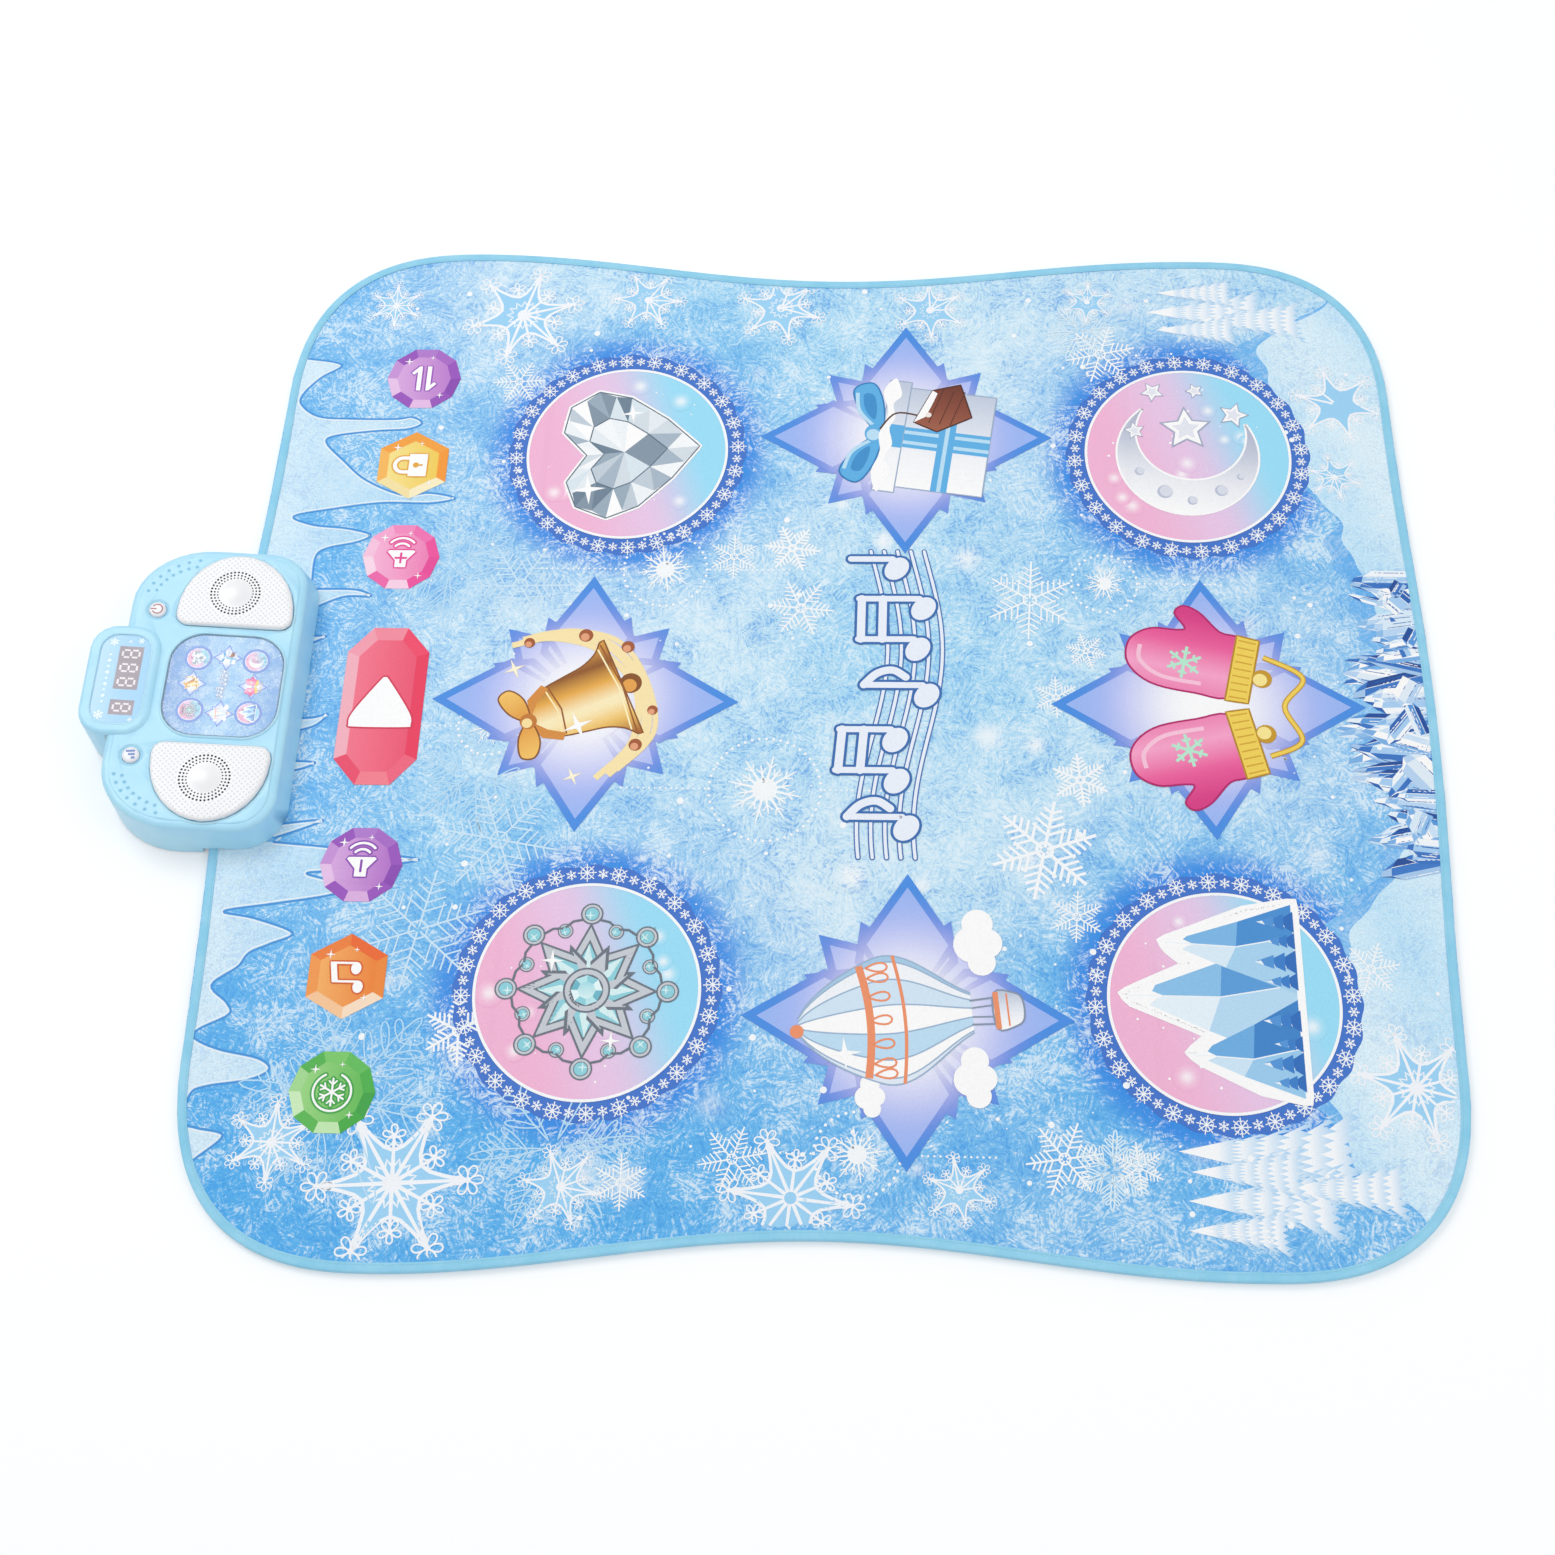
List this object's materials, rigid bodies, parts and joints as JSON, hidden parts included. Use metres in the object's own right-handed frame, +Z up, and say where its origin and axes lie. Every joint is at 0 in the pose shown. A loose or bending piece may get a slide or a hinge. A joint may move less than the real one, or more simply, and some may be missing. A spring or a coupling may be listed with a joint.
{
  "type": "electronic dance mat",
  "caption": "Soft floor mat with foot pads and a column of touch keys, and a talking control unit with speakers, display, light panel and battery box at its side.",
  "frame": {"origin": "on the floor, under the middle of the mat", "axes": "+X along the mat, away from the control unit; +Y across it, from the buttons of the near end to the far end; +Z up"},
  "size_m": [1.022, 0.867, 0.0486],
  "materials": {
    "printed_cloth": "printed satin polyester",
    "binding_tape": "woven tape",
    "dotted_cloth": "cloth with rubber dots",
    "circuit_film": "printed polyester film",
    "spacer_foam": "foam sheet",
    "contact_foam": "carbon faced foam",
    "case_plastic": "satin moulded",
    "case_bottom_plastic": "fine grain",
    "grille_plastic": "pearl",
    "button_plastic": "satin",
    "clear_blue": "clear",
    "digit_block": "smooth",
    "inner_plastic": "plain",
    "board_green": "solder mask",
    "switch_black": "plain",
    "contact_metal": "nickel plated",
    "screw_steel": "zinc plated",
    "basket_steel": "black",
    "cone_paper": "black paper",
    "magnet_ferrite": "ferrite",
    "cell_wrap": "plastic wrap",
    "lead_red": "insulation",
    "lead_black": "insulation"
  },
  "bodies": {
    "base": {"anti_slip_backing": "dotted_cloth", "lower_circuit_film": "circuit_film", "spacer_foam": "spacer_foam", "upper_circuit_film": "circuit_film", "printed_cover": "printed_cloth", "edge_binding": "binding_tape", "upper_case": "case_plastic", "lower_case": "case_bottom_plastic", "battery_cell_left": "cell_wrap", "battery_cell_middle": "cell_wrap", "battery_cell_right": "cell_wrap", "battery_contact_positive": "contact_metal", "battery_contact_first_link": "contact_metal", "battery_contact_second_link": "contact_metal", "battery_contact_negative": "contact_metal", "speaker_grille_far": "grille_plastic", "speaker_grille_near": "grille_plastic", "speaker_basket_far": "basket_steel", "speaker_basket_near": "basket_steel", "speaker_cone_far": "cone_paper", "speaker_cone_near": "cone_paper", "speaker_magnet_far": "magnet_ferrite", "speaker_magnet_near": "magnet_ferrite", "power_switch": "switch_black", "mode_switch": "switch_black", "display_window": "clear_blue", "display_three_digit": "digit_block", "display_one_digit": "digit_block", "panel_lens": "clear_blue", "panel_light_frame": "inner_plastic", "main_circuit_board": "board_green", "circuit_tail": "circuit_film", "tail_clamp_bar": "inner_plastic", "battery_leads": "lead_red", "speaker_leads_far": "lead_black", "speaker_leads_near": "lead_black", "case_screw_mat_side_far": "screw_steel", "case_screw_mat_side_near": "screw_steel", "case_screw_display_side_far": "screw_steel", "case_screw_display_side_near": "screw_steel"},
    "step_top_left": {"step_pad_top_left": "contact_foam"},
    "step_top": {"step_pad_top": "contact_foam"},
    "step_top_right": {"step_pad_top_right": "contact_foam"},
    "step_left": {"step_pad_left": "contact_foam"},
    "step_right": {"step_pad_right": "contact_foam"},
    "step_bottom_left": {"step_pad_bottom_left": "contact_foam"},
    "step_bottom": {"step_pad_bottom": "contact_foam"},
    "step_bottom_right": {"step_pad_bottom_right": "contact_foam"},
    "key_play": {"key_pad_play": "contact_foam"},
    "key_lock": {"key_pad_lock": "contact_foam"},
    "key_volume_up": {"key_pad_volume_up": "contact_foam"},
    "key_start": {"key_pad_start": "contact_foam"},
    "key_volume_down": {"key_pad_volume_down": "contact_foam"},
    "key_game": {"key_pad_game": "contact_foam"},
    "key_music": {"key_pad_music": "contact_foam"},
    "power_button": {"power_button": "button_plastic"},
    "mode_button": {"mode_button": "button_plastic"},
    "battery_door": {"battery_door": "case_bottom_plastic", "battery_door_screw": "screw_steel"}
  },
  "joints": [
    {"name": "press_step_top_left", "type": "slide", "parent": "base", "child": "step_top_left", "axis": [0, 0, -1], "range_m": [0, 0.001], "stiffness_N_per_m": 1500, "springref_m": -0.0007},
    {"name": "press_step_top", "type": "slide", "parent": "base", "child": "step_top", "axis": [0, 0, -1], "range_m": [0, 0.001], "stiffness_N_per_m": 1500, "springref_m": -0.0007},
    {"name": "press_step_top_right", "type": "slide", "parent": "base", "child": "step_top_right", "axis": [0, 0, -1], "range_m": [0, 0.001], "stiffness_N_per_m": 1500, "springref_m": -0.0007},
    {"name": "press_step_left", "type": "slide", "parent": "base", "child": "step_left", "axis": [0, 0, -1], "range_m": [0, 0.001], "stiffness_N_per_m": 1500, "springref_m": -0.0007},
    {"name": "press_step_right", "type": "slide", "parent": "base", "child": "step_right", "axis": [0, 0, -1], "range_m": [0, 0.001], "stiffness_N_per_m": 1500, "springref_m": -0.0007},
    {"name": "press_step_bottom_left", "type": "slide", "parent": "base", "child": "step_bottom_left", "axis": [0, 0, -1], "range_m": [0, 0.001], "stiffness_N_per_m": 1500, "springref_m": -0.0007},
    {"name": "press_step_bottom", "type": "slide", "parent": "base", "child": "step_bottom", "axis": [0, 0, -1], "range_m": [0, 0.001], "stiffness_N_per_m": 1500, "springref_m": -0.0007},
    {"name": "press_step_bottom_right", "type": "slide", "parent": "base", "child": "step_bottom_right", "axis": [0, 0, -1], "range_m": [0, 0.001], "stiffness_N_per_m": 1500, "springref_m": -0.0007},
    {"name": "press_key_play", "type": "slide", "parent": "base", "child": "key_play", "axis": [0, 0, -1], "range_m": [0, 0.001], "stiffness_N_per_m": 1000, "springref_m": -0.0005},
    {"name": "press_key_lock", "type": "slide", "parent": "base", "child": "key_lock", "axis": [0, 0, -1], "range_m": [0, 0.001], "stiffness_N_per_m": 1000, "springref_m": -0.0005},
    {"name": "press_key_volume_up", "type": "slide", "parent": "base", "child": "key_volume_up", "axis": [0, 0, -1], "range_m": [0, 0.001], "stiffness_N_per_m": 1000, "springref_m": -0.0005},
    {"name": "press_key_start", "type": "slide", "parent": "base", "child": "key_start", "axis": [0, 0, -1], "range_m": [0, 0.001], "stiffness_N_per_m": 1000, "springref_m": -0.0005},
    {"name": "press_key_volume_down", "type": "slide", "parent": "base", "child": "key_volume_down", "axis": [0, 0, -1], "range_m": [0, 0.001], "stiffness_N_per_m": 1000, "springref_m": -0.0005},
    {"name": "press_key_game", "type": "slide", "parent": "base", "child": "key_game", "axis": [0, 0, -1], "range_m": [0, 0.001], "stiffness_N_per_m": 1000, "springref_m": -0.0005},
    {"name": "press_key_music", "type": "slide", "parent": "base", "child": "key_music", "axis": [0, 0, -1], "range_m": [0, 0.001], "stiffness_N_per_m": 1000, "springref_m": -0.0005},
    {"name": "press_power_button", "type": "slide", "parent": "base", "child": "power_button", "axis": [-0.1045, 0, -0.9945], "range_m": [0, 0.0006], "stiffness_N_per_m": 2500, "springref_m": -0.0004},
    {"name": "press_mode_button", "type": "slide", "parent": "base", "child": "mode_button", "axis": [-0.1045, 0, -0.9945], "range_m": [0, 0.0006], "stiffness_N_per_m": 2500, "springref_m": -0.0004},
    {"name": "battery_door_hinge", "type": "hinge", "parent": "base", "child": "battery_door", "pos_m": [-0.4893, -0.003, 0.0004], "axis": [0, 1, 0], "range_deg": [0, 60]}
  ]
}
